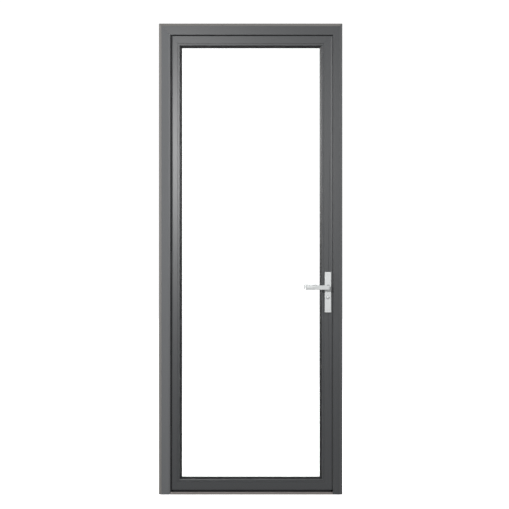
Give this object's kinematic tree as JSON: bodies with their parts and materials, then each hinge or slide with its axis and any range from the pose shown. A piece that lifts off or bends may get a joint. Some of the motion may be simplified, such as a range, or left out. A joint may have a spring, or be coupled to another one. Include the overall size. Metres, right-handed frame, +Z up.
{
  "type": "glass door with frame",
  "caption": "Hinged glazed metal door leaf in its own flush frame with threshold, lever handle, latch and push button lock.",
  "frame": {"origin": "on the floor, middle of the frame's width and of the closed leaf's thickness, which is the bottom centre of the bounding box", "axes": "+Z up; -Y is the side shown, towards which the leaf opens; +X towards the lock side seen from there"},
  "size_m": [0.9, 0.17, 2.31],
  "materials": {
    "frame_coat": "dark grey fine-textured powder coat on extruded aluminium",
    "strip_coat": "pale taupe powder coat",
    "threshold_anodised": "matt anodised",
    "cast_cleat": "as cast",
    "seal_rubber": "matt black",
    "block_plastic": "matt black",
    "spacer_black": "black anodised",
    "clear_glass": "clear float glass",
    "hinge_black": "black powder coat",
    "plated_steel": "zinc plated",
    "stainless": "brushed stainless",
    "satin_handle": "satin, fine brushed"
  },
  "bodies": {
    "frame": {"hinge_jamb": "frame_coat", "lock_jamb": "frame_coat", "head": "frame_coat", "threshold": "threshold_anodised", "strip_left": "strip_coat", "strip_right": "strip_coat", "strip_head_left": "strip_coat", "strip_head_middle": "strip_coat", "strip_head_right": "strip_coat", "head_cleats": "cast_cleat", "stop_seal_left": "seal_rubber", "stop_seal_right": "seal_rubber", "stop_seal_head": "seal_rubber", "stop_seal_threshold": "seal_rubber", "groove_seal": "seal_rubber", "hinge_frame_plates": "hinge_black", "hinge_pins": "hinge_black", "hinge_frame_screws": "plated_steel", "strike_plate": "stainless", "strike_tabs": "plated_steel", "strike_screws": "stainless", "threshold_screws": "plated_steel"},
    "leaf": {"hinge_stile": "frame_coat", "lock_stile": "frame_coat", "top_rail": "frame_coat", "bottom_rail": "frame_coat", "leaf_cleats": "cast_cleat", "bead_left": "frame_coat", "bead_right": "frame_coat", "bead_top": "frame_coat", "bead_bottom": "frame_coat", "gasket_front": "seal_rubber", "gasket_rear": "seal_rubber", "pane_front": "clear_glass", "pane_rear": "clear_glass", "spacer_frame": "spacer_black", "glazing_blocks": "block_plastic", "bottom_sweep": "seal_rubber", "hinge_leaf_plates": "hinge_black", "hinge_leaf_screws": "plated_steel", "lock_case": "plated_steel", "lock_cover": "plated_steel", "face_plate": "stainless", "face_plate_tabs": "plated_steel", "face_plate_screws": "stainless", "latch_spring": "plated_steel", "plate_front": "satin_handle", "plate_rear": "satin_handle", "plate_caps": "satin_handle", "lever_bushes": "block_plastic", "handle_bolts": "stainless"},
    "lever_set": {"lever_front": "satin_handle", "lever_rear": "satin_handle", "lever_set_screws": "plated_steel", "spindle": "plated_steel", "follower": "plated_steel"},
    "latch": {"latch_bolt": "plated_steel"},
    "button": {"lock_button": "satin_handle"}
  },
  "joints": [
    {"name": "door_swing", "type": "hinge", "parent": "frame", "child": "leaf", "pos_m": [-0.38975, -0.0207, 0], "axis": [0, 0, -1], "range_deg": [0, 110]},
    {"name": "lever_turn", "type": "hinge", "parent": "leaf", "child": "lever_set", "pos_m": [0.3785, 0, 1.0165], "axis": [0, -1, 0], "range_deg": [0, 45], "stiffness_Nm_per_rad": 1.5, "springref_deg": -34.38},
    {"name": "latch_slide", "type": "slide", "parent": "leaf", "child": "latch", "axis": [-1, 0, 0], "range_m": [0, 0.01], "deforming": ["latch_spring"]},
    {"name": "button_press", "type": "slide", "parent": "leaf", "child": "button", "axis": [0, 1, 0], "range_m": [0, 0.0035], "stiffness_N_per_m": 200, "springref_m": -0.002}
  ],
  "couplings": [
    {"joint": "latch_slide", "follows": "lever_turn", "m_per_rad": 0.01273}
  ]
}
